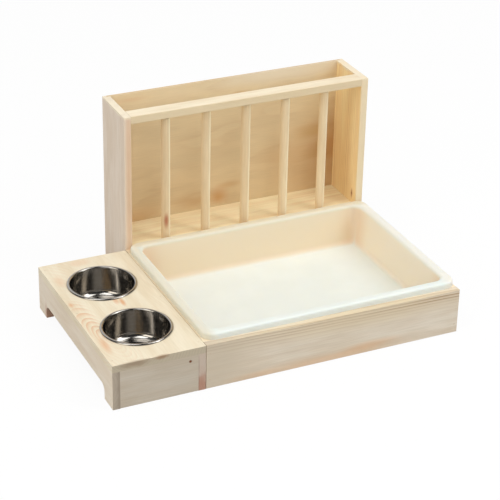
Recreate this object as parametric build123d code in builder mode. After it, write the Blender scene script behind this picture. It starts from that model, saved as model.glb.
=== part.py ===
from build123d import *
import os

# Hay feeder box for rabbits and guinea pigs: a low bowl stand on the left, a tray frame with a
# lift-out litter pan on the right, and a hay rack with upright dowels standing behind the tray.
# Millimetres, +X to the right, +Y to the back, +Z up. The origin is on the floor, under the
# middle of the whole feeder.

# ---- Stock -----------------------------------------------------------------------------------
board = 12.0                # pine board, used for everything but the back and the dowels
back_ply = 5.0              # plywood back of the hay rack
edge_round = 0.8            # sanded outer edges of the boards

# ---- Litter pan, which sets the size of the frame built round it -------------------------------
pan_length = 429.5          # over the rim, along X
pan_depth = 315.0           # over the rim, along Y
pan_wall = 2.5
pan_rim_height = 10.5       # of the rolled rim above the wood
pan_rim_crown = 3.5         # radius on the rim's outer edge
pan_mouth_round = 5.0       # radius on the rim's inner edge
pan_corner = 16.0           # radius of the mouth's corners, inside
pan_rim_corner = 18.0       # radius of the rim's outer corners
pan_draft_angle = 4.5       # of each wall from upright
pan_floor_round = 9.5       # radius between the walls and the floor, inside
pan_floor_gap = 14.0        # from the ground to the pan's underside
pan_wall_clearance = 1.0    # from the rear board to the pan's body where it meets the rim

# ---- Tray frame --------------------------------------------------------------------------------
module_height = 75.0        # top of the bowl stand and of the tray frame
pan_margin_left = 2.5       # wood that shows beside the rim
pan_margin_right = 0.0
pan_margin_front = 10.5
pan_margin_rear = 0.5       # keeps the rim clear of the rack as the pan is lifted

# ---- Bowl stand --------------------------------------------------------------------------------
stand_width = 148.0
module_seam = 0.5           # joint line between the bowl stand and the tray frame
foot_length = 34.0          # of each foot, along Y
arch_height = 23.0          # of the cut-out between the feet
arch_corner = 11.0

# ---- Bowls -------------------------------------------------------------------------------------
bowl_count = 2
bowl_rim_radius = 55.5
bowl_body_radius = 51.0     # outside, just under the rim
bowl_base_radius = 49.5     # outside, where the wall would meet the base
bowl_depth = 47.0           # from the wood's top down to the bowl's underside
bowl_base_round = 12.0      # outside radius between wall and base
bowl_steel = 0.8
bowl_hole_clearance = 1.0   # round the bowl's body, on the radius

# ---- Hay rack ----------------------------------------------------------------------------------
rack_depth = 94.0
rack_height = 307.0
rail_depth = 25.0           # top front rail, along Y
rail_height = 13.0
rail_round = 1.2
rebate_width = 6.0          # step in the side panels that takes the plywood back
back_clearance = 0.2        # at each side of the plywood, in its rebate
dowel_count = 5
dowel_radius = 7.3
dowel_socket = 8.0          # depth of the blind sockets in the rail and the shelf
dowel_fit = 0.05            # glue gap round a dowel, on the radius
dowel_end_chamfer = 0.8

# ---- Fasteners ---------------------------------------------------------------------------------
brad_width = 1.27           # 18 gauge brads: flat wire with a small T head
brad_thickness = 1.02
brad_head = 1.9
brad_head_height = 0.8
brad_length = 30.0
back_brad_length = 16.0
brad_end_inset = 15.0       # from a board's end to its first brad
screw_radius = 1.75
screw_head_radius = 3.5
screw_length = 30.0
screw_clearance = 0.25      # round the shank in the rear board, on the radius
screw_angle = 90.0          # of the countersunk head
screw_slot_length = 3.6
screw_slot_width = 0.9
screw_slot_depth = 1.2
fit_gap = 0.02              # between a screw and its pilot hole, on the radius

# ---- Layout ------------------------------------------------------------------------------------
frame_width = pan_margin_left + pan_length + pan_margin_right
module_depth = pan_margin_front + pan_depth + pan_margin_rear
total_width = stand_width + module_seam + frame_width
total_depth = module_depth + rack_depth

stand_left = -total_width / 2
stand_right = stand_left + stand_width
stand_middle = stand_left + stand_width / 2
frame_left = stand_right + module_seam
frame_right = frame_left + frame_width
frame_middle = frame_left + frame_width / 2

front = -total_depth / 2
module_middle = front + module_depth / 2
rack_front = front + module_depth
back = rack_front + rack_depth
rack_middle = rack_front + rack_depth / 2

side_height = module_height - board     # boards under the stand's top
rack_inner_width = frame_width - 2 * board
dowel_pitch = (rack_inner_width + 2 * dowel_radius) / (dowel_count + 1)     # equal clear gaps
dowel_y = rack_front + rail_depth / 2
shelf_depth = rack_depth - back_ply
shelf_middle = module_height - board / 2

os.makedirs("parts", exist_ok=True)


def drive_brads(faces, places, length):
    """Flat brads with T heads, driven straight in from each face at the places given on it."""
    with BuildPart() as brads:
        for face in faces:
            with BuildSketch(face):
                with Locations(*places):
                    Rectangle(brad_head, brad_width)
            extrude(amount=-brad_head_height)
            with BuildSketch(face.offset(-brad_head_height)):
                with Locations(*places):
                    Rectangle(brad_thickness, brad_width)
            extrude(amount=brad_head_height - length)
    return brads


def left_face(x, y):
    """A face that looks along -X, with its origin on the floor."""
    return Plane(origin=(x, y, 0), x_dir=(0, -1, 0), z_dir=(-1, 0, 0))


def right_face(x, y):
    """A face that looks along +X, with its origin on the floor."""
    return Plane(origin=(x, y, 0), x_dir=(0, 1, 0), z_dir=(1, 0, 0))


def front_face(x, y):
    """A face that looks along -Y, with its origin on the floor."""
    return Plane(origin=(x, y, 0), x_dir=(1, 0, 0), z_dir=(0, -1, 0))


def rear_face(x, y):
    """A face that looks along +Y, with its origin on the floor."""
    return Plane(origin=(x, y, 0), x_dir=(-1, 0, 0), z_dir=(0, 1, 0))


# ==== Fasteners, which the boards are then cut to take ==========================================

# The stand's top is nailed down into the side boards' upper edges.
top_brad_x = (stand_width - board) / 2
top_brad_y = module_depth / 2 - brad_end_inset
bowl_stand_top_brads = drive_brads(
    [Plane((stand_middle, module_middle, module_height))],
    [(x, y) for x in (-top_brad_x, top_brad_x) for y in (-top_brad_y, 0, top_brad_y)],
    brad_length,
)
bowl_stand_top_brads.part.label = "bowl_stand_top_brads"
export_step(bowl_stand_top_brads.part, "parts/bowl_stand_top_brads.step")

# The stand's side boards are nailed into the ends of its end boards.
end_brad_y = (module_depth - board) / 2
end_brad_heights = (brad_end_inset, side_height - brad_end_inset)
bowl_stand_corner_brads = drive_brads(
    [left_face(stand_left, module_middle), right_face(stand_right, module_middle)],
    [(y, z) for y in (-end_brad_y, end_brad_y) for z in end_brad_heights],
    brad_length,
)
bowl_stand_corner_brads.part.label = "bowl_stand_corner_brads"
export_step(bowl_stand_corner_brads.part, "parts/bowl_stand_corner_brads.step")

# The tray frame's front and rear boards are nailed into the ends of its side boards.
corner_brad_x = (frame_width - board) / 2
corner_brad_heights = (brad_end_inset, module_height - brad_end_inset)
tray_frame_brads = drive_brads(
    [front_face(frame_middle, front), rear_face(frame_middle, rack_front)],
    [(x, z) for x in (-corner_brad_x, corner_brad_x) for z in corner_brad_heights],
    brad_length,
)
tray_frame_brads.part.label = "tray_frame_brads"
export_step(tray_frame_brads.part, "parts/tray_frame_brads.step")

# The rack's side panels are nailed into the ends of its shelf and of its top rail.
shelf_brad_y = rack_front + shelf_depth / 2
shelf_brad_step = shelf_depth / 2 - brad_end_inset
rail_brad_height = rack_height - rail_height / 2
shelf_brads = drive_brads(
    [left_face(frame_left, shelf_brad_y), right_face(frame_right, shelf_brad_y)],
    [(y, shelf_middle) for y in (-shelf_brad_step, 0, shelf_brad_step)],
    brad_length,
)
rail_brads = drive_brads(
    [left_face(frame_left, dowel_y), right_face(frame_right, dowel_y)],
    [(0, rail_brad_height)],
    brad_length,
)
with BuildPart() as rack_brads:
    add(shelf_brads.part)
    add(rail_brads.part)
rack_brads.part.label = "rack_brads"
export_step(rack_brads.part, "parts/rack_brads.step")

# The plywood back is nailed into the steps of the side panels and into the shelf's rear edge.
rebate_brad_x = rack_inner_width / 2 + rebate_width / 2
rebate_brad_span = rack_height / 2 - brad_end_inset
rebate_brad_heights = [rack_height / 2 + rebate_brad_span * step for step in (-1, 0, 1)]
shelf_brad_x = rack_inner_width / 2 - brad_end_inset
back_panel_brads = drive_brads(
    [rear_face(frame_middle, back)],
    [(x, z) for x in (-rebate_brad_x, rebate_brad_x) for z in rebate_brad_heights]
    + [(x, shelf_middle) for x in (-shelf_brad_x, 0, shelf_brad_x)],
    back_brad_length,
)
back_panel_brads.part.label = "back_panel_brads"
export_step(back_panel_brads.part, "parts/back_panel_brads.step")

# Countersunk cross-head screws hold the tray frame's rear board to the rack's shelf. They go in
# from inside the frame, under the pan's rim, between the dowels.
rack_screw_face = Plane(
    origin=(frame_middle, rack_front - board, shelf_middle), x_dir=(1, 0, 0), z_dir=(0, -1, 0)
)
screw_head_height = screw_head_radius - screw_radius    # a 90 degree cone
at_top = (Align.CENTER, Align.CENTER, Align.MAX)
with BuildPart() as rack_screws:
    with Locations(rack_screw_face):
        with GridLocations(dowel_pitch, 0, dowel_count - 1, 1):
            Cylinder(screw_radius, screw_length, align=at_top)
            Cone(screw_radius, screw_head_radius - fit_gap, screw_head_height, align=at_top)
            for slot in ((screw_slot_length, screw_slot_width), (screw_slot_width, screw_slot_length)):
                Box(slot[0], slot[1], screw_slot_depth, align=at_top, mode=Mode.SUBTRACT)
rack_screws.part.label = "rack_screws"
export_step(rack_screws.part, "parts/rack_screws.step")


# ==== Bowl stand ================================================================================

bowl_gap = (module_depth - 2 * bowl_rim_radius * bowl_count) / (bowl_count + 1)
bowl_pitch = 2 * bowl_rim_radius + bowl_gap
bowl_hole_radius = bowl_body_radius + bowl_hole_clearance

# The top lies over all four boards below it and has a round hole for each bowl.
with BuildPart() as bowl_stand_top:
    with BuildSketch(Plane((stand_middle, module_middle, side_height))):
        Rectangle(stand_width, module_depth)
    extrude(amount=board)
    fillet(bowl_stand_top.edges().filter_by(Axis.Z), radius=edge_round)
    fillet(bowl_stand_top.faces().sort_by(Axis.Z)[-1].edges(), radius=edge_round)
    with Locations(Plane((stand_middle, module_middle, module_height))):
        with GridLocations(0, bowl_pitch, 1, bowl_count):
            Hole(bowl_hole_radius)
    add(bowl_stand_top_brads.part, mode=Mode.SUBTRACT)
bowl_stand_top.part.label = "bowl_stand_top"
export_step(bowl_stand_top.part, "parts/bowl_stand_top.step")


def stand_side(outer_x, inward):
    """Side board with a long round-cornered cut-out that leaves a foot at each end."""
    with BuildPart() as side:
        with BuildSketch(Plane.YZ.offset(outer_x)):
            with Locations((module_middle, side_height / 2)):
                Rectangle(module_depth, side_height)
            with Locations((module_middle, 0)):
                RectangleRounded(
                    module_depth - 2 * foot_length, 2 * arch_height, arch_corner, mode=Mode.SUBTRACT
                )
        extrude(amount=inward * board)
        outer_face = side.faces().filter_by(Axis.X).sort_by(Axis.X, reverse=inward < 0)[0]
        below_top = outer_face.edges().sort_by(Axis.Z)[:-1]
        fillet(below_top, radius=edge_round)
        add(bowl_stand_top_brads.part, mode=Mode.SUBTRACT)
        add(bowl_stand_corner_brads.part, mode=Mode.SUBTRACT)
    return side


bowl_stand_outer_side = stand_side(stand_left, 1)
bowl_stand_outer_side.part.label = "bowl_stand_outer_side"
export_step(bowl_stand_outer_side.part, "parts/bowl_stand_outer_side.step")

bowl_stand_inner_side = stand_side(stand_right, -1)
bowl_stand_inner_side.part.label = "bowl_stand_inner_side"
export_step(bowl_stand_inner_side.part, "parts/bowl_stand_inner_side.step")


def stand_end(outer_y, inward):
    """End board between the two side boards, down to the floor."""
    with BuildPart() as end:
        with BuildSketch(Plane.XZ.offset(-outer_y)):
            with Locations((stand_middle, side_height / 2)):
                Rectangle(stand_width - 2 * board, side_height)
        extrude(amount=-inward * board)
        outer_face = end.faces().filter_by(Axis.Y).sort_by(Axis.Y, reverse=inward < 0)[0]
        fillet(outer_face.edges().sort_by(Axis.Z)[0], radius=edge_round)
        add(bowl_stand_corner_brads.part, mode=Mode.SUBTRACT)
    return end


bowl_stand_front_end = stand_end(front, 1)
bowl_stand_front_end.part.label = "bowl_stand_front_end"
export_step(bowl_stand_front_end.part, "parts/bowl_stand_front_end.step")

bowl_stand_rear_end = stand_end(rack_front, -1)
bowl_stand_rear_end.part.label = "bowl_stand_rear_end"
export_step(bowl_stand_rear_end.part, "parts/bowl_stand_rear_end.step")


# ==== Bowls =====================================================================================

def pressed_bowl(centre_y):
    """Steel bowl whose rolled rim has a flat underside that lies on the stand's top."""
    inner_radius = bowl_body_radius - bowl_steel
    inner_depth = bowl_depth - bowl_steel
    roll = (bowl_rim_radius - inner_radius) / 2
    section = Plane(
        origin=(stand_middle, centre_y, module_height), x_dir=(1, 0, 0), z_dir=(0, -1, 0)
    )
    with BuildPart() as bowl:
        with BuildSketch(section):
            with BuildLine():
                FilletPolyline(
                    (0, -bowl_depth),
                    (bowl_base_radius, -bowl_depth),
                    (bowl_body_radius, 0),
                    radius=bowl_base_round,
                )
                Line((bowl_body_radius, 0), (bowl_rim_radius, 0))
                ThreePointArc(
                    (bowl_rim_radius, 0), (bowl_rim_radius - roll, roll), (inner_radius, 0)
                )
                FilletPolyline(
                    (inner_radius, 0),
                    (bowl_base_radius - bowl_steel, -inner_depth),
                    (0, -inner_depth),
                    radius=bowl_base_round - bowl_steel,
                )
                Line((0, -inner_depth), (0, -bowl_depth))
            make_face()
        revolve(axis=Axis((stand_middle, centre_y, 0), (0, 0, 1)))
    return bowl


front_bowl = pressed_bowl(module_middle - bowl_pitch / 2)
front_bowl.part.label = "front_bowl"
export_step(front_bowl.part, "parts/front_bowl.step")

rear_bowl = pressed_bowl(module_middle + bowl_pitch / 2)
rear_bowl.part.label = "rear_bowl"
export_step(rear_bowl.part, "parts/rear_bowl.step")


# ==== Tray frame ================================================================================

def frame_end(outer_y, inward):
    """Board as long as the frame, nailed over the ends of the side boards."""
    with BuildPart() as end:
        with BuildSketch(Plane.XZ.offset(-outer_y)):
            with Locations((frame_middle, module_height / 2)):
                Rectangle(frame_width, module_height)
        extrude(amount=-inward * board)
        outer_face = end.faces().filter_by(Axis.Y).sort_by(Axis.Y, reverse=inward < 0)[0]
        fillet(outer_face.edges(), radius=edge_round)
        add(tray_frame_brads.part, mode=Mode.SUBTRACT)
    return end


tray_frame_front = frame_end(front, 1)
tray_frame_front.part.label = "tray_frame_front"
export_step(tray_frame_front.part, "parts/tray_frame_front.step")

plain_rear = frame_end(rack_front, -1)
with BuildPart() as tray_frame_rear:
    add(plain_rear.part)
    with Locations(rack_screw_face):
        with GridLocations(dowel_pitch, 0, dowel_count - 1, 1):
            CounterSinkHole(
                screw_radius + screw_clearance,
                screw_head_radius,
                depth=board,
                counter_sink_angle=screw_angle,
            )
tray_frame_rear.part.label = "tray_frame_rear"
export_step(tray_frame_rear.part, "parts/tray_frame_rear.step")


def frame_side(outer_x, inward):
    """Board between the frame's front and rear boards."""
    with BuildPart() as side:
        with BuildSketch(Plane.YZ.offset(outer_x)):
            with Locations((module_middle, module_height / 2)):
                Rectangle(module_depth - 2 * board, module_height)
        extrude(amount=inward * board)
        outer_face = side.faces().filter_by(Axis.X).sort_by(Axis.X, reverse=inward < 0)[0]
        fillet(outer_face.edges().filter_by(Axis.Y), radius=edge_round)
        add(tray_frame_brads.part, mode=Mode.SUBTRACT)
    return side


tray_frame_left = frame_side(frame_left, 1)
tray_frame_left.part.label = "tray_frame_left"
export_step(tray_frame_left.part, "parts/tray_frame_left.step")

tray_frame_right = frame_side(frame_right, -1)
tray_frame_right.part.label = "tray_frame_right"
export_step(tray_frame_right.part, "parts/tray_frame_right.step")


# ==== Litter pan ================================================================================

# The pan hangs from its rim, which is a channel open downwards: its skirt stands on the frame,
# and its body, just clear of the boards, tapers to a floor with wide rounded edges.
pan_at = (frame_left + pan_margin_left + pan_length / 2, front + pan_margin_front + pan_depth / 2)
pan_rim_width = board - pan_margin_rear + pan_wall_clearance + pan_wall
mouth_length = pan_length - 2 * pan_rim_width
mouth_depth = pan_depth - 2 * pan_rim_width
pan_top = module_height + pan_rim_height
pan_floor_top = pan_floor_gap + pan_wall


def tapered_block(length, depth, corner, bottom, top, bottom_round):
    """Rounded block, full size at its top, that leans in by the draft to its rounded lower edge."""
    with BuildPart() as block:
        with BuildSketch(Plane((*pan_at, top))):
            RectangleRounded(length, depth, corner)
        extrude(amount=bottom - top, taper=pan_draft_angle)
        fillet(block.faces().sort_by(Axis.Z)[0].edges(), radius=bottom_round)
    return block


pan_body = tapered_block(
    mouth_length + 2 * pan_wall,
    mouth_depth + 2 * pan_wall,
    pan_corner + pan_wall,
    pan_floor_gap,
    pan_top,
    pan_floor_round + pan_wall,
)
pan_hollow = tapered_block(
    mouth_length, mouth_depth, pan_corner, pan_floor_top, pan_top, pan_floor_round
)
with BuildPart() as litter_pan:
    with BuildSketch(Plane((*pan_at, module_height))):
        RectangleRounded(pan_length, pan_depth, pan_rim_corner)
    extrude(amount=pan_rim_height)
    fillet(litter_pan.faces().sort_by(Axis.Z)[-1].edges(), radius=pan_rim_crown)
    with BuildSketch(Plane((*pan_at, module_height))):
        RectangleRounded(
            pan_length - 2 * pan_wall, pan_depth - 2 * pan_wall, pan_rim_corner - pan_wall
        )
    extrude(amount=pan_rim_height - pan_wall, mode=Mode.SUBTRACT)
    add(pan_body.part)
    add(pan_hollow.part, mode=Mode.SUBTRACT)
    rim_top = litter_pan.faces().sort_by(Axis.Z)[-1]
    fillet(rim_top.inner_wires()[0].edges(), radius=pan_mouth_round)
litter_pan.part.label = "litter_pan"
export_step(litter_pan.part, "parts/litter_pan.step")


# ==== Hay rack ==================================================================================

def rack_panel(outer_x, inward):
    """Full-height side panel with a step along its inner rear corner for the plywood back."""
    with BuildPart() as panel:
        with BuildSketch(Plane.XY):
            with Locations((outer_x + inward * board / 2, rack_middle)):
                Rectangle(board, rack_depth)
        extrude(amount=rack_height)
        front_edges = panel.faces().sort_by(Axis.Y)[0].edges()
        top_edges = panel.faces().sort_by(Axis.Z)[-1].edges().filter_by(Axis.Y)
        fillet(front_edges + top_edges, radius=edge_round)
        with BuildSketch(Plane.XY):
            with Locations((outer_x + inward * (board - rebate_width / 2), back - back_ply / 2)):
                Rectangle(rebate_width, back_ply)
        extrude(amount=rack_height, mode=Mode.SUBTRACT)
        add(rack_brads.part, mode=Mode.SUBTRACT)
        add(back_panel_brads.part, mode=Mode.SUBTRACT)
    return panel


rack_left_panel = rack_panel(frame_left, 1)
rack_left_panel.part.label = "rack_left_panel"
export_step(rack_left_panel.part, "parts/rack_left_panel.step")

rack_right_panel = rack_panel(frame_right, -1)
rack_right_panel.part.label = "rack_right_panel"
export_step(rack_right_panel.part, "parts/rack_right_panel.step")

with BuildPart() as rack_back_panel:
    with BuildSketch(Plane.XZ.offset(-back)):
        with Locations((frame_middle, rack_height / 2)):
            Rectangle(rack_inner_width + 2 * (rebate_width - back_clearance), rack_height)
    extrude(amount=back_ply)
    add(back_panel_brads.part, mode=Mode.SUBTRACT)
rack_back_panel.part.label = "rack_back_panel"
export_step(rack_back_panel.part, "parts/rack_back_panel.step")

# The shelf is level with the tray frame's top and has a blind socket for each dowel.
with BuildPart() as rack_shelf:
    with BuildSketch(Plane((frame_middle, rack_front + shelf_depth / 2, module_height))):
        Rectangle(rack_inner_width, shelf_depth)
    extrude(amount=-board)
    with Locations(Plane((frame_middle, dowel_y, module_height))):
        with GridLocations(dowel_pitch, 0, dowel_count, 1):
            Hole(dowel_radius + dowel_fit, depth=dowel_socket)
    with Locations(rack_screw_face):
        with GridLocations(dowel_pitch, 0, dowel_count - 1, 1):
            Hole(screw_radius + fit_gap, depth=screw_length)
    add(rack_brads.part, mode=Mode.SUBTRACT)
    add(back_panel_brads.part, mode=Mode.SUBTRACT)
rack_shelf.part.label = "rack_shelf"
export_step(rack_shelf.part, "parts/rack_shelf.step")

# The top rail takes the dowels' upper ends from below.
rail_underside = rack_height - rail_height
with BuildPart() as rack_top_rail:
    with BuildSketch(Plane((frame_middle, dowel_y, rail_underside))):
        Rectangle(rack_inner_width, rail_depth)
    extrude(amount=rail_height)
    fillet(rack_top_rail.edges().filter_by(Axis.X), radius=rail_round)
    with Locations(Plane(origin=(frame_middle, dowel_y, rail_underside), z_dir=(0, 0, -1))):
        with GridLocations(dowel_pitch, 0, dowel_count, 1):
            Hole(dowel_radius + dowel_fit, depth=dowel_socket)
    add(rack_brads.part, mode=Mode.SUBTRACT)
rack_top_rail.part.label = "rack_top_rail"
export_step(rack_top_rail.part, "parts/rack_top_rail.step")

dowel_foot = module_height - dowel_socket
dowel_length = rail_underside + dowel_socket - dowel_foot
for index in range(dowel_count):
    dowel_x = frame_middle + (index - (dowel_count - 1) / 2) * dowel_pitch
    with BuildPart() as rack_dowel:
        with BuildSketch(Plane((dowel_x, dowel_y, dowel_foot))):
            Circle(dowel_radius)
        extrude(amount=dowel_length)
        chamfer(rack_dowel.edges().filter_by(GeomType.CIRCLE), length=dowel_end_chamfer)
    rack_dowel.part.label = f"rack_dowel_{index + 1}"
    export_step(rack_dowel.part, f"parts/rack_dowel_{index + 1}.step")
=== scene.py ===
import math

import bpy
from mathutils import Matrix, Vector


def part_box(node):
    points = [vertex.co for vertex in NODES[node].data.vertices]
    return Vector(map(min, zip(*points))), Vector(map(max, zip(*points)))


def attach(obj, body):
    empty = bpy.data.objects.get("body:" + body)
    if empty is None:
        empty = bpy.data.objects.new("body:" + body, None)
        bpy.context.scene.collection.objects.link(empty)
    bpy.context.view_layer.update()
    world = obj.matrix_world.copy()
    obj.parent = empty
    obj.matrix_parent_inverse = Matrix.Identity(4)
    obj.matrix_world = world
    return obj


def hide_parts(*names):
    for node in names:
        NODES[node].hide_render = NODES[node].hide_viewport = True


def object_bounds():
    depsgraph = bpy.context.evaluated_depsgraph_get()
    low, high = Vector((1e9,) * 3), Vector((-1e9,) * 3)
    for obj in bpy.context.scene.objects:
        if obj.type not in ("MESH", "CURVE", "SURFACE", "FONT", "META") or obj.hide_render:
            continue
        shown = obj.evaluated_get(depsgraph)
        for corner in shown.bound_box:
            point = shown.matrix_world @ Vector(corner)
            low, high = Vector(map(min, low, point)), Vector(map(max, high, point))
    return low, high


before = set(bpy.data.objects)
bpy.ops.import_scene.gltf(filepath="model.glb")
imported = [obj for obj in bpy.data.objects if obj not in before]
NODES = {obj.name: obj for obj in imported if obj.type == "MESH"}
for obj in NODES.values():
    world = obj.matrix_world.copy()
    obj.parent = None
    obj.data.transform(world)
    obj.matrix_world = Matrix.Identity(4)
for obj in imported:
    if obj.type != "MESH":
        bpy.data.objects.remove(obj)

CAD_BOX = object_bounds()
SCENE = bpy.context.scene
MM = 0.001
WHITE = (1.0, 1.0, 1.0, 1.0)

# ---- Camera: solved from the photograph's edges, in metres and degrees -------------------------
CAMERA_AT = Vector((-1.0444, -2.2422, 1.4089))
CAMERA_AZIMUTH = -25.51
CAMERA_ELEVATION = 27.83
CAMERA_ROLL = 1.27
CAMERA_LENS = 126.9          # mm
CAMERA_SENSOR = 36.0         # mm

# ---- Lamps, in metres and watts, all turned towards one place ----------------------------------
LAMPS_TARGET = Vector((0.0, 0.0, 0.1))
LAMPS = (                    # name, place, size, watts, colour
    ("key", (1.3, -0.8, 2.4), (1.7, 1.7), 21.0, (1.0, 1.0, 1.0)),
    ("right_strip", (1.7, -1.8, 1.5), (0.6, 1.1), 9.0, (1.0, 1.0, 1.0)),
    ("top_soft", (-0.9, -0.6, 2.4), (1.2, 1.2), 11.0, (1.0, 1.0, 1.0)),
    ("left_strip", (-2.3, -1.1, 1.3), (1.4, 1.7), 15.0, (1.0, 0.94, 0.84)),
)

# ---- Studio ------------------------------------------------------------------------------------
ROOM_GLOW = 0.6              # light from all round
BACKDROP_GLOW = 1.0          # what the camera sees behind the object
BACKDROP_SIDE = (0.0, 0.85, 0.53)
BACKDROP_EDGE = (0.62, 0.95)     # cosines of the angle from that side, from room to backdrop
METAL_SEES = (0.03, 0.75)        # glow of the room and of the backdrop in a reflection
FLOOR_HALF = 6.0             # metres from the middle to an edge
FLOOR_BOUNCE = (0.5, 0.5, 0.5, 1.0)
FLOOR_SEEN = (0.95, 0.95, 0.95, 1.0)
FLOOR_GLOW_SHARE = 0.93      # how much of the seen floor is its own white; the rest takes shadows

# ---- Litter pan, in millimetres ----------------------------------------------------------------
PAN_WALL = 2.5
PAN_CROWN = 3.5              # radius on the rim's outer edge
PAN_MOUTH_ROUND = 5.0
PAN_RIM_WIDTH = 15.0
PAN_CORNER = 16.0            # radius of the mouth's corners
PAN_RIM_CORNER = 18.0        # radius of the rim's outer corners
PAN_DRAFT = math.radians(4.5)
PAN_FLOOR_ROUND = 9.5
PAN_CORNER_STEPS = 14        # in each corner's quarter turn

# ---- Bowls, in millimetres ---------------------------------------------------------------------
BOWL_BODY = 51.0             # outside radius under the rim
BOWL_BASE = 49.5             # outside radius where wall and base would meet
BOWL_BASE_ROUND = 12.0
BOWL_BASE_SHIFT = 0.2        # moves that round out to the slanting wall
BOWL_BASE_TURN = (-90, 2)    # degrees, from the base up to the wall
BOWL_STEEL = 0.8
BOWL_RIM_EASE = 0.5          # radius where the rim turns down into the bowl
BOWL_RIM_DROP = 0.4          # from the wood's top down to that radius's centre
BOWL_BEAD_TURN = 168         # degrees that the rolled rim turns through
BOWL_HUB = 0.5               # radius of the disc that closes the base
BOWL_AROUND = 144            # points in each ring

SHARP = math.radians(38)     # edges that turn more than this stay sharp


def srgb(red, green, blue):
    """Linear colour from 0 to 255 display values."""
    def linear(value):
        c = value / 255
        return c / 12.92 if c <= 0.04045 else ((c + 0.055) / 1.055) ** 2.4
    return (linear(red), linear(green), linear(blue), 1.0)


def scaled(colour, *factors):
    """The colour with its channels multiplied."""
    return tuple(c * k for c, k in zip(colour[:3], factors)) + (1.0,)


# ==== Node trees ================================================================================

class Nodes:
    """A node tree, with short spellings for the nodes it uses."""

    def __init__(self, tree):
        self.tree = tree

    def feed(self, socket, value):
        if isinstance(value, bpy.types.NodeSocket):
            self.tree.links.new(value, socket)
        else:
            socket.default_value = value

    def add(self, kind, **settings):
        node = self.tree.nodes.new(kind)
        for key, value in settings.items():
            setattr(node, key, value)
        return node

    def fed(self, node, values):
        """Feeds the values to the node's first inputs."""
        for socket, value in zip(node.inputs, values):
            self.feed(socket, value)
        return node

    def math(self, operation, *values, clamp=False):
        node = self.add("ShaderNodeMath", operation=operation, use_clamp=clamp)
        return self.fed(node, values).outputs[0]

    def plus(self, first, second):
        return self.math("ADD", first, second)

    def minus(self, first, second):
        return self.math("SUBTRACT", first, second)

    def times(self, first, second):
        return self.math("MULTIPLY", first, second)

    def over(self, first, second):
        return self.math("DIVIDE", first, second)

    def vector(self, operation, *values):
        node = self.fed(self.add("ShaderNodeVectorMath", operation=operation), values)
        scalar = operation in ("LENGTH", "DOT_PRODUCT", "DISTANCE")
        return node.outputs["Value" if scalar else "Vector"]

    def scale(self, vector, factor):
        node = self.add("ShaderNodeVectorMath", operation="SCALE")
        self.feed(node.inputs[0], vector)
        node.inputs["Scale"].default_value = factor
        return node.outputs["Vector"]

    def combine(self, x, y, z):
        return self.fed(self.add("ShaderNodeCombineXYZ"), (x, y, z)).outputs[0]

    def split(self, vector):
        return tuple(self.fed(self.add("ShaderNodeSeparateXYZ"), (vector,)).outputs)

    def noise(self, vector, scale=1.0, detail=2.0, roughness=0.5, colour=False):
        node = self.add("ShaderNodeTexNoise")
        self.feed(node.inputs["Vector"], vector)
        node.inputs["Scale"].default_value = scale
        node.inputs["Detail"].default_value = detail
        node.inputs["Roughness"].default_value = roughness
        return node.outputs["Color" if colour else "Fac"]

    def ease(self, value, low, high, start=0.0, end=1.0):
        """Smooth step from start to end as the value goes from low to high."""
        node = self.add("ShaderNodeMapRange", interpolation_type="SMOOTHSTEP")
        for socket, number in zip(node.inputs[1:5], (low, high, start, end)):
            socket.default_value = number
        self.feed(node.inputs[0], value)
        return node.outputs[0]

    def mix(self, amount, first, second, blend="MIX"):
        node = self.add("ShaderNodeMix", data_type="RGBA", blend_type=blend)
        self.feed(node.inputs["Factor"], amount)
        self.feed(node.inputs[6], first)
        self.feed(node.inputs[7], second)
        return node.outputs[2]

    def shade(self, colour, *factors):
        """Colour with its channels multiplied; the last factor serves for those left out."""
        factors += factors[-1:] * (3 - len(factors))
        return self.mix(1.0, colour, self.combine(*factors), "MULTIPLY")

    def near(self, place, spot, reach):
        """Distance from a spot, in units of its reach."""
        return self.vector("LENGTH", self.vector(
            "DIVIDE", self.vector("SUBTRACT", place, spot), reach
        ))

    def choose(self, amount, first, second):
        return self.fed(self.add("ShaderNodeMixShader"), (amount, first, second)).outputs[0]

    def ray(self, *kinds):
        """1 for a ray of any of these kinds."""
        path = self.add("ShaderNodeLightPath")
        found = path.outputs[f"Is {kinds[0]} Ray"]
        for kind in kinds[1:]:
            found = self.math("MAXIMUM", found, path.outputs[f"Is {kind} Ray"])
        return found


class Surface(Nodes):
    """One material's node tree."""

    def __init__(self, name):
        self.material = bpy.data.materials.new(name)
        self.material.use_nodes = True
        super().__init__(self.material.node_tree)
        self.shader = self.tree.nodes["Principled BSDF"]

    def place(self):
        """Object coordinates in millimetres, and the object's normal."""
        node = self.add("ShaderNodeTexCoord")
        return self.scale(node.outputs["Object"], 1 / MM), node.outputs["Normal"]

    def bump(self, height, distance, strength):
        node = self.add("ShaderNodeBump")
        node.inputs["Strength"].default_value = strength
        node.inputs["Distance"].default_value = distance
        self.feed(node.inputs["Height"], height)
        self.feed(self.shader.inputs["Normal"], node.outputs[0])

    def surface(self, **values):
        for name, value in values.items():
            self.feed(self.shader.inputs[name.replace("_", " ").title()], value)


# ==== Wood ======================================================================================

ALONG = {"X": (0, 1, 2), "Y": (1, 0, 2), "Z": (2, 0, 1)}    # grain first, then across
KNOT = srgb(120, 72, 44)
WOOD_SPECULAR = 0.3

# Blots of the noises that shape pine: length along the grain and width across it, in millimetres
BEND_BLOT = (140.0, 38.0)    # bends the rings
PATCH_BLOT = (210.0, 30.0)   # where the rings show
FIBRE_BLOT = (30.0, 0.8)
CLOUD_BLOT = (110.0, 18.0)   # slow change of tone

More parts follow.
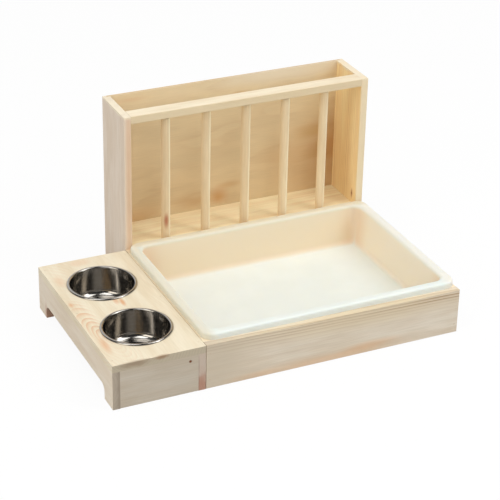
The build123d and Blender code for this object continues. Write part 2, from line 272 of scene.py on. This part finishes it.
# The same for plywood
BAND_BLOT = (230.0, 52.0)    # the wide bands of rotary-cut veneer
PLY_CLOUD_BLOT = (150.0, 40.0)
PLY_FIBRE_BLOT = (34.0, 1.0)
CORE_PLY = ((1.5, 1.7), (3.3, 3.5))    # depths from the back where the middle ply starts and ends


def wood(name, grain, tone, late, pith, ring=3.0, figure=0.3, tilt=(0.0, 0.0), warp=5.0, share=3.0,
         end=0.72, knots=(), stains_and_painted_light=(), busy=(), seed=0.0):
    """Pine or a like wood: rings round a pith that runs along the grain, streaked by its fibres.

    pith is where the rings' middle passes, across the grain, and tilt is how it climbs along it.
    A higher share makes each ring's dark part thinner. knots are (place, radius), stains are
    (place, reach, strength, colour) of stained wood and of painted shade, shadows and highlights,
    and busy are (place, reach, strength) of places where the rings show more. Millimetres
    throughout.
    """
    n = Surface(name)
    place, normal = n.place()
    xyz = n.split(place)
    along, p, q = (xyz[axis] for axis in ALONG[grain])
    across_p = n.minus(n.minus(p, pith[0]), n.times(along, tilt[0]))
    across_q = n.minus(n.minus(q, pith[1]), n.times(along, tilt[1]))

    def streak(blot, detail=2.0, shift=0.0, colour=False):
        """Noise stretched along the grain."""
        length, width = blot
        vector = n.combine(
            n.over(n.plus(along, seed + shift), length),
            n.over(n.plus(p, seed + shift), width),
            n.over(q, width),
        )
        return n.noise(vector, detail=detail, colour=colour)

    # Rings, bent by slow noise and round the knots
    bend = n.vector("SUBTRACT", streak(BEND_BLOT, colour=True), (0.5, 0.5, 0.5))
    bend_p, bend_q, _ = n.split(n.scale(bend, warp))
    radius = n.vector("LENGTH", n.combine(
        0.0, n.plus(across_p, bend_p), n.plus(across_q, bend_q)
    ))
    for spot, size in knots:
        away = n.vector("DISTANCE", place, spot)
        radius = n.plus(radius, n.ease(away, 0.0, 6 * size, 2.4 * size, 0.0))
    uneven = n.noise(n.combine(n.over(radius, 3.1 * ring), seed, 0.0), detail=1.0)
    turns = n.plus(n.over(radius, ring), n.times(uneven, 1.6))
    phase = n.math("FRACT", turns)
    line = n.times(n.math("POWER", phase, share), n.ease(phase, 0.9, 1.0, 1.0, 0.0))

    # Where the rings show
    strength = n.ease(streak(PATCH_BLOT, shift=37.0), 0.35, 0.65, 0.3, 1.0)
    for spot, reach, gain in busy:
        strength = n.plus(strength, n.ease(n.near(place, spot, reach), 0.3, 1.0, gain, 0.0))
    amount = n.math("MULTIPLY", n.times(line, strength), figure, clamp=True)

    # Colour
    fibre = streak(FIBRE_BLOT, detail=3.0, shift=11.0)
    cloud = streak(CLOUD_BLOT, shift=71.0)
    pale = tuple(min(1.0, c) for c in scaled(tone, 1.05, 1.05, 1.05))
    deep = scaled(tone, 0.97, 0.93, 0.88)
    colour = n.mix(n.ease(cloud, 0.3, 0.7), pale, deep)
    colour = n.mix(amount, colour, late)
    shade = n.ease(fibre, 0.3, 0.72, 1.035, 0.94)
    colour = n.shade(colour, shade, shade, n.math("POWER", shade, 1.3))

    # End grain drinks light: darker and browner, with the rings' arcs
    towards = n.math("ABSOLUTE", n.split(normal)[ALONG[grain][0]])
    end_tone = scaled(tone, end, 0.95 * end, 0.9 * end)
    dark_tone = scaled(end_tone, 0.7, 0.7, 0.7)
    speck = n.ease(n.noise(place, scale=1.4, detail=3.0), 0.35, 0.7, 1.05, 0.88)
    end_colour = n.shade(n.mix(n.times(line, 0.4), end_tone, dark_tone), speck)
    colour = n.mix(n.ease(towards, 0.6, 0.95), colour, end_colour)

    # Stained wood, and painted shade, shadows and highlights, each mixed in over a ragged patch
    for spot, reach, gain, stain_and_light_colour in stains_and_painted_light:
        ragged = n.plus(n.near(place, spot, reach), n.times(n.minus(cloud, 0.5), 0.9))
        colour = n.mix(n.ease(ragged, 0.15, 1.0, gain, 0.0), colour, stain_and_light_colour)
    for spot, size in knots:
        away = n.vector("DISTANCE", place, spot)
        colour = n.mix(n.ease(away, 0.55 * size, 1.3 * size, 1.0, 0.0), colour, KNOT)
    n.surface(base_color=colour, roughness=n.ease(fibre, 0.2, 0.8, 0.52, 0.68))
    n.shader.inputs["Specular IOR Level"].default_value = WOOD_SPECULAR
    n.bump(n.plus(n.times(fibre, 0.6), n.times(line, -0.5)), 0.0001, 0.6)
    return n.material


def plywood(name, tone, late, stains_and_painted_light):
    """Rotary-cut veneer: the rings show as wide, wavy bands. The edges show three plies."""
    n = Surface(name)
    place, normal = n.place()
    x, y, z = n.split(place)

    def streak(blot, detail, shift):
        length, height = blot
        return n.noise(n.combine(n.over(x, length), shift, n.over(z, height)), detail=detail)

    slow = streak(BAND_BLOT, 2.0, 3.4)
    bands = n.math("FRACT", n.times(slow, 5.0))
    band = n.times(n.math("POWER", bands, 2.0), n.ease(bands, 0.84, 1.0, 1.0, 0.0))
    cloud = streak(PLY_CLOUD_BLOT, 2.0, 9.0)
    fibre = streak(PLY_FIBRE_BLOT, 3.0, 5.0)
    colour = n.mix(n.times(band, n.ease(cloud, 0.3, 0.7, 0.05, 0.2)), tone, late)
    colour = n.shade(colour, n.times(
        n.ease(cloud, 0.3, 0.7, 1.03, 0.95), n.ease(fibre, 0.3, 0.72, 1.02, 0.96)
    ))
    # Stained plywood, and painted shade and painted light, each mixed in over a wavy patch
    for spot, reach, gain, stain_and_light_colour in stains_and_painted_light:
        wavy = n.plus(n.near(place, spot, reach), n.times(n.minus(slow, 0.5), 1.6))
        colour = n.mix(n.ease(wavy, 0.0, 1.0, gain, 0.0), colour, stain_and_light_colour)
    from_back = n.minus(CAD_BOX[1][1] / MM, y)
    starts, ends = CORE_PLY
    core_ply = n.times(n.ease(from_back, *starts), n.ease(from_back, *ends, 1.0, 0.0))
    facing = n.math("ABSOLUTE", n.split(normal)[1])
    edge = n.times(core_ply, n.ease(facing, 0.3, 0.6, 1.0, 0.0))
    n.surface(
        base_color=n.mix(n.times(edge, 0.5), colour, late),
        roughness=n.ease(fibre, 0.2, 0.8, 0.5, 0.66),
    )
    n.shader.inputs["Specular IOR Level"].default_value = WOOD_SPECULAR
    n.bump(fibre, 0.0001, 0.5)
    return n.material


# ---- Where the photograph shows knots, stained wood and busy grain, and where light and shade are painted, in millimetres ---

ORANGE = srgb(224, 160, 108)
RED = srgb(176, 104, 72)
BROWN = srgb(202, 148, 84)
PEACH = srgb(230, 184, 136)

LEFT = CAD_BOX[0][0] / MM
FRONT = -210.0               # front faces of the stand and the frame
STAND_TOP = 75.0
RACK_FRONT = 116.0           # front edges of the rack
PLY_FACE = 205.0             # front face of the plywood
RACK_KNOT = (278.2, 131.7, 91.7)

PLYWOOD_STAINS_AND_PAINTED_LIGHT = (
    # Painted light: paler near the top, where the plywood is open to the light above the rail
    ((70.0, PLY_FACE, 330.0), (900.0, 30.0, 62.0), 0.9, srgb(234, 220, 194)),
    ((61.0, PLY_FACE, 91.0), (27.0, 30.0, 27.0), 0.65, srgb(206, 142, 76)),
    # Browner patches low down, darker towards the lower left
    ((20.0, PLY_FACE, 90.0), (74.0, 30.0, 26.0), 0.45, BROWN),
    ((82.0, PLY_FACE, 112.0), (30.0, 30.0, 9.0), 0.35, BROWN),
    ((-85.0, PLY_FACE, 80.0), (90.0, 30.0, 36.0), 0.4, BROWN),
    # Painted shade in the corner where the plywood meets the left panel
    ((-134.0, PLY_FACE, 160.0), (22.0, 30.0, 170.0), 0.4, BROWN),
    ((-95.0, PLY_FACE, 296.0), (60.0, 30.0, 10.0), 0.3, ORANGE),
    ((96.0, PLY_FACE, 278.0), (30.0, 30.0, 4.0), 0.5, BROWN),
    ((236.0, PLY_FACE, 184.0), (46.0, 30.0, 20.0), 0.4, srgb(196, 150, 74)),
    # Painted shadow of the right panel on the plywood
    ((290.0, PLY_FACE, 150.0), (62.0, 30.0, 160.0), 0.7, srgb(180, 128, 66)),
    ((236.0, PLY_FACE, 120.0), (110.0, 30.0, 130.0), 0.3, srgb(206, 152, 92)),
)
STAND_TOP_STAINS = (
    ((-216.0, -31.0, STAND_TOP), (6.0, 15.0, 20.0), 0.55, ORANGE),
    ((-208.0, -40.0, STAND_TOP), (5.0, 17.0, 20.0), 0.75, ORANGE),
    ((-256.0, FRONT, 71.0), (34.0, 5.0, 9.0), 0.5, srgb(140, 108, 80)),
    ((-212.0, FRONT, 73.0), (18.0, 5.0, 5.0), 0.6, srgb(150, 104, 66)),
    ((-279.0, -150.0, STAND_TOP), (9.0, 36.0, 20.0), 0.5, ORANGE),
    ((-284.0, -20.0, STAND_TOP), (7.0, 16.0, 20.0), 0.6, ORANGE),
    ((-226.0, 104.0, STAND_TOP), (26.0, 14.0, 20.0), 0.25, ORANGE),
    ((-275.0, 56.0, STAND_TOP), (12.0, 26.0, 20.0), 0.25, ORANGE),
)
FRAME_FRONT_STAINS = (
    ((60.0, FRONT, 3.0), (190.0, 20.0, 18.0), 0.5, PEACH),
    ((130.0, FRONT, 12.0), (80.0, 20.0, 11.0), 0.45, PEACH),
    ((-70.0, FRONT, 4.0), (60.0, 20.0, 10.0), 0.35, PEACH),
    ((68.0, FRONT + 2.0, 77.0), (700.0, 7.0, 4.0), 0.5, srgb(206, 184, 140)),
    ((-142.0, FRONT, 50.0), (120.0, 20.0, 150.0), 0.6, srgb(204, 189, 165)),
    ((130.0, FRONT, 66.0), (300.0, 20.0, 30.0), 0.5, srgb(228, 208, 170)),
)
FRAME_FRONT_BUSY = (
    ((60.0, FRONT, 80.0), (420.0, 40.0, 34.0), 5.5),
    ((262.0, FRONT, 67.0), (190.0, 40.0, 7.0), 6.0),
)


def dowel_place(index):
    """Where a dowel's front is, along Y, and the middle of its box."""
    low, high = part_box(f"rack_dowel_{index}")
    return low.y / MM, (low + high) / 2 / MM


def dowel_shadow(index):
    """Painted shadow on the shelf, beside the foot of a dowel, where the dowel's cast shadow falls.
    """
    middle = dowel_place(index)[1]
    foot = Vector((middle.x, middle.y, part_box("rack_shelf")[1].z / MM))
    return Vector((-13.0, -5.0, 0.0)) + foot, (17.0, 5.0, 30.0), 0.6, srgb(206, 150, 98)


def dowel_wood(index):
    front, middle = dowel_place(index)
    # Painted highlight: a paler stripe down the right side of each dowel, where light from the
    # right falls
    painted_highlight_side = (middle.x + 6.0, middle.y - 4.4, 190.0)
    # Painted shadow of the rail on the top of each dowel
    painted_rail_shadow = (middle.x - 2.0, front, 295.0)
    stains_and_painted_light = [
        (painted_highlight_side, (5.2, 5.2, 900.0), 1.0, srgb(255, 246, 216)),
        (painted_rail_shadow, (15.0, 15.0, 6.0), 0.9, srgb(158, 132, 92)),
    ]
    if index == 1:
        stains_and_painted_light.append(((middle.x - 1.5, front, 112.0), (6.0, 8.0, 19.0), 0.85, RED))
    # Painted shade: the dowels further left are a little darker, because the light comes from the
    # right
    tone = srgb(*(value + 2 * index for value in (223, 202, 166)))
    turn = index * 2.1           # the pith lies on another side of each dowel
    return wood(
        f"dowel_wood_{index}", "Z", tone, srgb(206, 160, 108),
        (middle.x + 9.0 * math.cos(turn), middle.y + 9.0 * math.sin(turn)),
        ring=2.8, figure=0.3, warp=2.0, seed=80.0 + 6 * index, stains_and_painted_light=stains_and_painted_light,
    )


LOOKS = {
    "bowl_stand_top": wood(
        "pine_stand_top", "Y", srgb(235, 225, 201), srgb(222, 158, 110), (-286.0, 31.0),
        ring=4.6, figure=0.2, tilt=(-0.14, -0.32), warp=5.0, share=2.0, end=0.7, seed=4.0,
        busy=(((-277.0, -80.0, STAND_TOP), (17.0, 85.0, 40.0), 3.0),), stains_and_painted_light=STAND_TOP_STAINS,
    ),
    "bowl_stand_outer_side": wood(
        "pine_outer_side", "Y", srgb(236, 224, 206), srgb(200, 170, 136), (LEFT - 30.0, 40.0),
        ring=5.0, figure=0.13, end=0.6, seed=9.0,
        stains_and_painted_light=(((-278.0, FRONT, 40.0), (8.0, 8.0, 110.0), 0.4, srgb(128, 112, 96)),
                ((-284.0, 83.0, 4.0), (30.0, 8.0, 30.0), 0.5, RED)),
    ),
    "bowl_stand_inner_side": wood(
        "pine_inner_side", "Y", srgb(232, 218, 204), srgb(190, 140, 112), (-120.0, 20.0),
        ring=3.0, figure=0.3, end=0.8, seed=15.0,
        stains_and_painted_light=(((-148.0, FRONT, 0.0), (16.0, 12.0, 42.0), 0.6, RED),
                ((-155.0, FRONT, 40.0), (3.0, 12.0, 80.0), 0.4, srgb(120, 88, 70))),
    ),
    "bowl_stand_front_end": wood(
        "pine_front_end", "X", srgb(204, 194, 178), srgb(190, 165, 132), (FRONT - 40.0, 20.0),
        ring=4.0, figure=0.14, seed=21.0, knots=(((-167.4, FRONT, 54.0), 2.4),),
    ),
    "bowl_stand_rear_end": wood(
        "pine_rear_end", "X", srgb(232, 220, 196), srgb(205, 176, 140), (160.0, 30.0),
        ring=3.6, figure=0.3, seed=27.0,
    ),
    "tray_frame_front": wood(
        "pine_frame_front", "X", srgb(232, 221, 203), srgb(146, 94, 40), (FRONT - 28.0, 14.0),
        ring=4.6, figure=0.12, tilt=(0.0, -0.025), warp=2.5, share=2.2, seed=33.0,
        busy=FRAME_FRONT_BUSY, stains_and_painted_light=FRAME_FRONT_STAINS,
    ),
    "tray_frame_rear": wood(
        "pine_frame_rear", "X", srgb(238, 222, 194), srgb(205, 160, 112), (60.0, 30.0),
        ring=3.2, figure=0.35, seed=39.0,
    ),
    "tray_frame_left": wood(
        "pine_frame_left", "Y", srgb(240, 226, 198), srgb(210, 165, 118), (-190.0, 30.0),
        ring=3.0, figure=0.3, seed=45.0,
    ),
    "tray_frame_right": wood(
        "pine_frame_right", "Y", srgb(240, 226, 198), srgb(210, 165, 118), (250.0, 45.0),
        ring=3.4, figure=0.3, seed=51.0,
    ),
    "rack_left_panel": wood(
        "pine_rack_left", "Z", srgb(233, 219, 203), srgb(196, 156, 122), (-170.0, 150.0),
        ring=4.4, figure=0.08, end=0.92, seed=57.0,
        stains_and_painted_light=(((-134.0, RACK_FRONT, 190.0), (9.0, 4.0, 300.0), 0.6, srgb(222, 178, 134)),
                ((-136.0, 150.0, 309.0), (60.0, 160.0, 9.0), 0.95, srgb(246, 234, 208))),
    ),
    # The panel's deep orange tone is partly its wood and partly painted warm shade and bounced
    # light for its inner face; the stains at its top and front edge give those faces paler wood
    "rack_right_panel": wood(
        "pine_rack_right", "Z", srgb(252, 225, 173), srgb(190, 124, 66), (250.0, 190.0),
        ring=3.6, figure=0.55, end=1.05, seed=63.0, knots=((RACK_KNOT, 1.6),),
        stains_and_painted_light=((RACK_KNOT, (5.0, 4.5, 13.0), 0.8, srgb(158, 96, 54)),
                ((284.0, 160.0, 309.0), (60.0, 160.0, 8.0), 0.95, srgb(242, 230, 206)),
                ((284.0, 115.0, 190.0), (60.0, 6.0, 400.0), 0.85, srgb(237, 222, 192))),
    ),
    # The shelf carries painted shadows of the dowels beside their feet
    "rack_shelf": wood(
        "pine_shelf", "X", srgb(253, 237, 199), srgb(214, 160, 100), (150.0, 30.0),
        ring=4.6, figure=0.3, seed=69.0, stains_and_painted_light=[dowel_shadow(index) for index in range(1, 6)],
    ),
    "rack_top_rail": wood(
        "pine_rail", "X", srgb(244, 232, 206), srgb(214, 170, 120), (120.0, 260.0),
        ring=4.0, figure=0.25, seed=75.0,
        # Painted shade: the rail's front face is darker and tan along its whole length
        stains_and_painted_light=(((68.0, RACK_FRONT, 296.0), (1500.0, 1.4, 60.0), 0.65, srgb(216, 194, 155)),),
    ),
    "rack_back_panel": plywood(
        "plywood", srgb(230, 208, 168), srgb(186, 132, 76), PLYWOOD_STAINS_AND_PAINTED_LIGHT
    ),
    **{f"rack_dowel_{index}": dowel_wood(index) for index in range(1, 6)},
}


# ==== Plastic and metal =========================================================================

# Where the pan's painted warm light and shade change, in millimetres inwards from the rim's outer
# edge
RIM_TO_WALL = (10.0, 18.0)
WALL_TO_FLOOR = (20.5, 29.5)
OUT_OF_CORNER = (20.0, 62.0)
ACROSS_LEFT_RIM = (4.0, 24.0)
ACROSS_RIM = (9.0, 27.0)     # on the back and the right
OFF_RIGHT_WALL = (24.0, 36.0)
# The pan's outside is nearly white: how far a face looks away from the pan's middle
INSIDE_TO_OUTSIDE = (60.0, 110.0)


def plastic():
    """Milky plastic, with painted warm light and shade on its rim and inner walls from the wood
    near them.
    """
    n = Surface("white_plastic")
    place, normal = n.place()
    x, y, z = n.split(place)
    low, high = (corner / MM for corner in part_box("litter_pan"))
    middle = (low + high) / 2

    def inward(value, centre, reach):
        """Distance inwards from the nearer of two opposite edges of the rim."""
        return n.minus(reach - centre, n.math("ABSOLUTE", n.minus(value, centre)))

    from_left, from_right, from_back = n.minus(x, low.x), n.minus(high.x, x), n.minus(high.y, y)
    from_side, from_end = inward(x, middle.x, high.x), inward(y, middle.y, high.y)
    depth = n.math("MINIMUM", from_side, from_end)
    outward = n.vector("DOT_PRODUCT", normal, n.vector(
        "SUBTRACT", place, (middle.x, middle.y, 0.0)
    ))
    below = n.ease(z, high.z - PAN_MOUTH_ROUND - 3.0, high.z - 1.0, 1.0, 0.0)
    # Where the inner walls' painted warm light goes: it fades in from the rim and out across the
    # floor, with less on faces that look outwards
    wall = n.times(n.ease(depth, *RIM_TO_WALL, 0.1, 1.0), n.ease(depth, *WALL_TO_FLOOR, 1.0, 0.0))
    wall = n.times(wall, n.ease(outward, *INSIDE_TO_OUTSIDE, 1.0, 0.25))
    corner = n.times(
        n.ease(from_side, *OUT_OF_CORNER, 1.0, 0.0), n.ease(from_end, *OUT_OF_CORNER, 1.0, 0.0)
    )
    # Painted warm shade on the rim beside the stand on the left and the rack at the back
    rim_painted_warmth = n.math(
        "MAXIMUM",
        n.ease(from_left, *ACROSS_LEFT_RIM, 0.75, 0.0),
        n.ease(from_back, *ACROSS_RIM, 1.0, 0.0),
    )

    haze = n.noise(place, scale=0.02, detail=2.0)
    base = n.mix(n.ease(haze, 0.3, 0.7), srgb(246, 252, 241), srgb(243, 249, 238))
    # Painted warm light: the rim is a paler, warmer white along the right side
    base = n.mix(n.ease(from_right, *ACROSS_RIM, 0.9, 0.0), base, srgb(255, 249, 232))
    base = n.mix(rim_painted_warmth, base, srgb(236, 223, 196))
    # Painted warm light for the inner walls, paler on the right wall
    right = n.ease(from_right, *OFF_RIGHT_WALL, 0.8, 0.0)
    painted_warm_light = n.mix(right, srgb(245, 222, 192), srgb(252, 236, 213))
    # Painted shade, deeper and warmer, in the inner corners
    painted_warm_light = n.mix(n.times(corner, 0.6), painted_warm_light, srgb(238, 200, 166))
    rough = n.noise(place, scale=0.09, detail=4.0)
    n.surface(
        base_color=n.mix(n.times(wall, below), base, painted_warm_light),
        roughness=n.ease(rough, 0.3, 0.7, 0.46, 0.58),
    )
    n.shader.inputs["Subsurface Weight"].default_value = 0.4
    n.shader.inputs["Subsurface Radius"].default_value = (1.0, 0.8, 0.6)
    n.shader.inputs["Subsurface Scale"].default_value = 0.01
    n.shader.inputs["IOR"].default_value = 1.49
    n.bump(n.noise(place, scale=0.5, detail=3.0), 0.00003, 0.5)
    return n.material


SPUN_RINGS = 2.2             # to a millimetre


def steel(name, colour, roughness, spun=None):
    """Bright steel; spun steel has fine rings round the given upright axis."""
    n = Surface(name)
    place, _ = n.place()
    if spun:
        x, y, z = n.split(place)
        out = n.vector("LENGTH", n.combine(n.minus(x, spun[0]), n.minus(y, spun[1]), 0.0))
        lines = n.noise(n.combine(
            n.times(out, SPUN_RINGS), n.times(z, SPUN_RINGS), 0.0
        ), detail=3.0)
    else:
        lines = n.noise(place, scale=1.5, detail=3.0)
    n.surface(
        base_color=colour,
        metallic=1.0,
        roughness=n.ease(lines, 0.3, 0.7, roughness * 0.8, roughness * 1.35),
    )
    n.bump(lines, 0.00002, 0.25)
    return n.material


PLASTIC = plastic()
for name in ("bowl_stand_top_brads", "bowl_stand_corner_brads", "tray_frame_brads", "rack_brads",
             "back_panel_brads"):
    LOOKS[name] = steel(f"steel_{name}", srgb(220, 202, 174), 0.6)
LOOKS["rack_screws"] = steel("screw_steel", srgb(196, 188, 160), 0.35)

for node, material in LOOKS.items():
    mesh = NODES[node].data
    mesh.materials.clear()
    mesh.materials.append(material)


# ==== Pieces made finer than the frame's ========================================================

def arc(across, height, radius, start, end, steps):
    """Points of an arc, in degrees from outward to up."""
    turns = (math.radians(start + (end - start) * k / steps) for k in range(steps + 1))
    return [(across + radius * math.cos(a), height + radius * math.sin(a)) for a in turns]


def add_piece(name, vertices, around, material, node, body):
    """Mesh from rings of points, closed by a face at each end, in place of the frame's node."""
    rings = len(vertices) // around
    faces = []
    for r in range(rings - 1):
        for k in range(around):
            a, b = r * around + k, r * around + (k + 1) % around
            faces.append((a, b, b + around, a + around))
    faces.append(tuple(reversed(range(around))))
    faces.append(tuple(range((rings - 1) * around, rings * around)))

    mesh = bpy.data.meshes.new(name)
    mesh.from_pydata([Vector(v) * MM for v in vertices], [], faces)
    mesh.validate()
    mesh.shade_smooth()
    mesh.set_sharp_from_angle(angle=SHARP)
    mesh.materials.append(material)
    piece = bpy.data.objects.new(name, mesh)
    SCENE.collection.objects.link(piece)
    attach(piece, body)
    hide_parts(node)


def make_bowl(name):
    low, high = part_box(name)
    centre = (low + high) / 2 / MM
    rim = (high.x - low.x) / 2 / MM
    wood_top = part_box("bowl_stand_top")[1].z / MM
    depth = wood_top - low.z / MM
    roll = high.z / MM - wood_top

    def base_arc(wall, steel_inside):
        """Profile of the base's round, from the base up to a wall of the given radius."""
        radius = BOWL_BASE_ROUND - steel_inside
        return arc(
            wall - radius + BOWL_BASE_SHIFT, -depth + steel_inside + radius, radius,
            *BOWL_BASE_TURN, 14,
        )

    outer = base_arc(BOWL_BASE, 0.0)
    inner = list(reversed(base_arc(BOWL_BASE - BOWL_STEEL, BOWL_STEEL)))
    bead = arc(rim - roll, 0.0, roll, 0, BOWL_BEAD_TURN, 18)
    ease = arc(
        BOWL_BODY - BOWL_STEEL - BOWL_RIM_EASE, -BOWL_RIM_DROP, BOWL_RIM_EASE, 30, 0, 4
    )
    profile = [
        (BOWL_HUB, -depth), *outer, (BOWL_BODY, 0.0), (rim, 0.0), *bead, *ease, *inner,
        (BOWL_HUB, -depth + BOWL_STEEL),
    ]
    vertices = [
        (centre.x + r * math.cos(t), centre.y + r * math.sin(t), wood_top + h)
        for r, h in profile
        for t in (2 * math.pi * k / BOWL_AROUND for k in range(BOWL_AROUND))
    ]
    material = steel(f"stainless_{name}", srgb(190, 186, 180), 0.15, (centre.x, centre.y))
    add_piece(f"{name}_spun", vertices, BOWL_AROUND, material, name, name)


def make_pan():
    low, high = (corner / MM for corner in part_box("litter_pan"))
    foot, top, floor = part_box("tray_frame_front")[1].z / MM, high.z, low.z + PAN_WALL
    lean, drafted = math.tan(PAN_DRAFT), math.degrees(PAN_DRAFT)

    # A profile point is (inset from the rim's outer edge, radius of the corners, height)
    def wall_arc(mouth, corner, radius, height, steps, start, end):
        """Arc between a drafted wall and a floor."""
        tangent = mouth + (top - height) * lean
        inset = tangent + radius / math.cos(PAN_DRAFT)
        kept = corner - (top - height) * lean
        return [
            (a, max(1.0, kept - (a - tangent)), z)
            for a, z in arc(inset, height, radius, start, end, steps)
        ]

    crown = [
        (a, PAN_RIM_CORNER - a, z)
        for a, z in arc(PAN_CROWN, top - PAN_CROWN, PAN_CROWN, 180, 90, 10)
    ]
    bend = PAN_RIM_WIDTH + PAN_MOUTH_ROUND * lean - PAN_MOUTH_ROUND / math.cos(PAN_DRAFT)
    mouth = [
        (a, PAN_CORNER + PAN_RIM_WIDTH - a, z)
        for a, z in arc(bend, top - PAN_MOUTH_ROUND, PAN_MOUTH_ROUND, 90, drafted, 12)
    ]
    hollow = wall_arc(
        PAN_RIM_WIDTH, PAN_CORNER, PAN_FLOOR_ROUND, floor + PAN_FLOOR_ROUND, 14,
        180 + drafted, 270,
    )
    outer_mouth, outer_round = PAN_RIM_WIDTH - PAN_WALL, PAN_FLOOR_ROUND + PAN_WALL
    outside = wall_arc(
        outer_mouth, PAN_CORNER + PAN_WALL, outer_round, low.z + outer_round, 10,
        270, 180 + drafted,
    )
    under = top - PAN_WALL
    profile = [
        *outside,
        (outer_mouth + PAN_WALL * lean, PAN_CORNER + PAN_WALL, under),
        (PAN_WALL, PAN_RIM_CORNER - PAN_WALL, under),
        (PAN_WALL, PAN_RIM_CORNER - PAN_WALL, foot),
        (0.0, PAN_RIM_CORNER, foot),
        *crown, *mouth, *hollow,
    ]
    vertices = []
    for inset, corner, z in profile:
        for quarter, (sx, sy) in enumerate(((1, 1), (-1, 1), (-1, -1), (1, -1))):
            cx = (high.x - inset - corner) if sx > 0 else (low.x + inset + corner)
            cy = (high.y - inset - corner) if sy > 0 else (low.y + inset + corner)
            for k in range(PAN_CORNER_STEPS + 1):
                t = math.radians(90 * (quarter + k / PAN_CORNER_STEPS))
                vertices.append((cx + corner * math.cos(t), cy + corner * math.sin(t), z))
    around = 4 * (PAN_CORNER_STEPS + 1)
    add_piece(
        "litter_pan_moulded", vertices, around, PLASTIC, "litter_pan", "litter_pan"
    )


make_bowl("front_bowl")
make_bowl("rear_bowl")
make_pan()


# ==== Camera, lamps, floor and backdrop =========================================================

def make_camera():
    azimuth, elevation, roll = map(math.radians, (CAMERA_AZIMUTH, CAMERA_ELEVATION, CAMERA_ROLL))
    back = Vector((
        math.sin(azimuth) * math.cos(elevation),
        -math.cos(azimuth) * math.cos(elevation),
        math.sin(elevation),
    ))
    right = (-back).cross(Vector((0, 0, 1))).normalized()
    up = right.cross(-back)
    turned_right = math.cos(roll) * right + math.sin(roll) * up
    turned_up = -math.sin(roll) * right + math.cos(roll) * up
    data = bpy.data.cameras.new("camera")
    data.sensor_width = CAMERA_SENSOR
    data.lens = CAMERA_LENS
    data.clip_start, data.clip_end = 0.05, 50.0
    camera = bpy.data.objects.new("camera", data)
    SCENE.collection.objects.link(camera)
    axes = Matrix((turned_right, turned_up, back)).transposed().to_4x4()
    camera.matrix_world = Matrix.Translation(CAMERA_AT) @ axes
    SCENE.camera = camera


def area_light(name, place, size, watts, colour):
    data = bpy.data.lights.new(name, "AREA")
    data.shape = "RECTANGLE"
    data.size, data.size_y = size
    data.energy = watts
    data.color = colour
    light = bpy.data.objects.new(name, data)
    SCENE.collection.objects.link(light)
    light.location = place
    towards = LAMPS_TARGET - Vector(place)
    light.rotation_euler = towards.to_track_quat("-Z", "Y").to_euler()


def floor_material():
    """Pale floor: white to the camera, and it still shows a soft shadow."""
    n = Surface("floor")
    seen = n.ray("Camera", "Glossy", "Transmission")
    n.surface(base_color=n.mix(seen, FLOOR_BOUNCE, FLOOR_SEEN), roughness=0.9)
    n.shader.inputs["Specular IOR Level"].default_value = 0.0
    glow = n.add("ShaderNodeEmission")
    glow.inputs["Color"].default_value = WHITE
    glow.inputs["Strength"].default_value = 1.0
    whole = n.choose(n.times(seen, FLOOR_GLOW_SHARE), n.shader.outputs[0], glow.outputs[0])
    n.feed(n.tree.nodes["Material Output"].inputs["Surface"], whole)
    return n.material


def make_floor():
    corners = [(FLOOR_HALF * x, FLOOR_HALF * y, 0) for x, y in ((-1, -1), (1, -1), (1, 1), (-1, 1))]
    mesh = bpy.data.meshes.new("floor")
    mesh.from_pydata(corners, [], [(0, 1, 2, 3)])
    mesh.materials.append(floor_material())
    floor = bpy.data.objects.new("floor", mesh)
    SCENE.collection.objects.link(floor)


def make_world():
    """White to the camera and dimmer as light; metal sees it white only behind and above."""
    world = bpy.data.worlds.new("world")
    world.use_nodes = True
    n = Nodes(world.node_tree)

    def background(node, strength):
        node.inputs["Color"].default_value = WHITE
        n.feed(node.inputs["Strength"], strength)
        return node.outputs[0]

    heading = n.add("ShaderNodeTexCoord").outputs["Generated"]
    towards = n.vector("DOT_PRODUCT", heading, BACKDROP_SIDE)
    room = background(n.tree.nodes["Background"], ROOM_GLOW)
    backdrop = background(n.add("ShaderNodeBackground"), BACKDROP_GLOW)
    studio = background(
        n.add("ShaderNodeBackground"), n.ease(towards, *BACKDROP_EDGE, *METAL_SEES)
    )
    lit = n.choose(n.ray("Glossy"), room, studio)
    whole = n.choose(n.ray("Camera", "Transmission"), lit, backdrop)
    n.feed(n.tree.nodes["World Output"].inputs["Surface"], whole)
    SCENE.world = world


make_camera()
make_floor()
make_world()
for lamp in LAMPS:
    area_light(*lamp)

SCENE.view_settings.view_transform = "Standard"
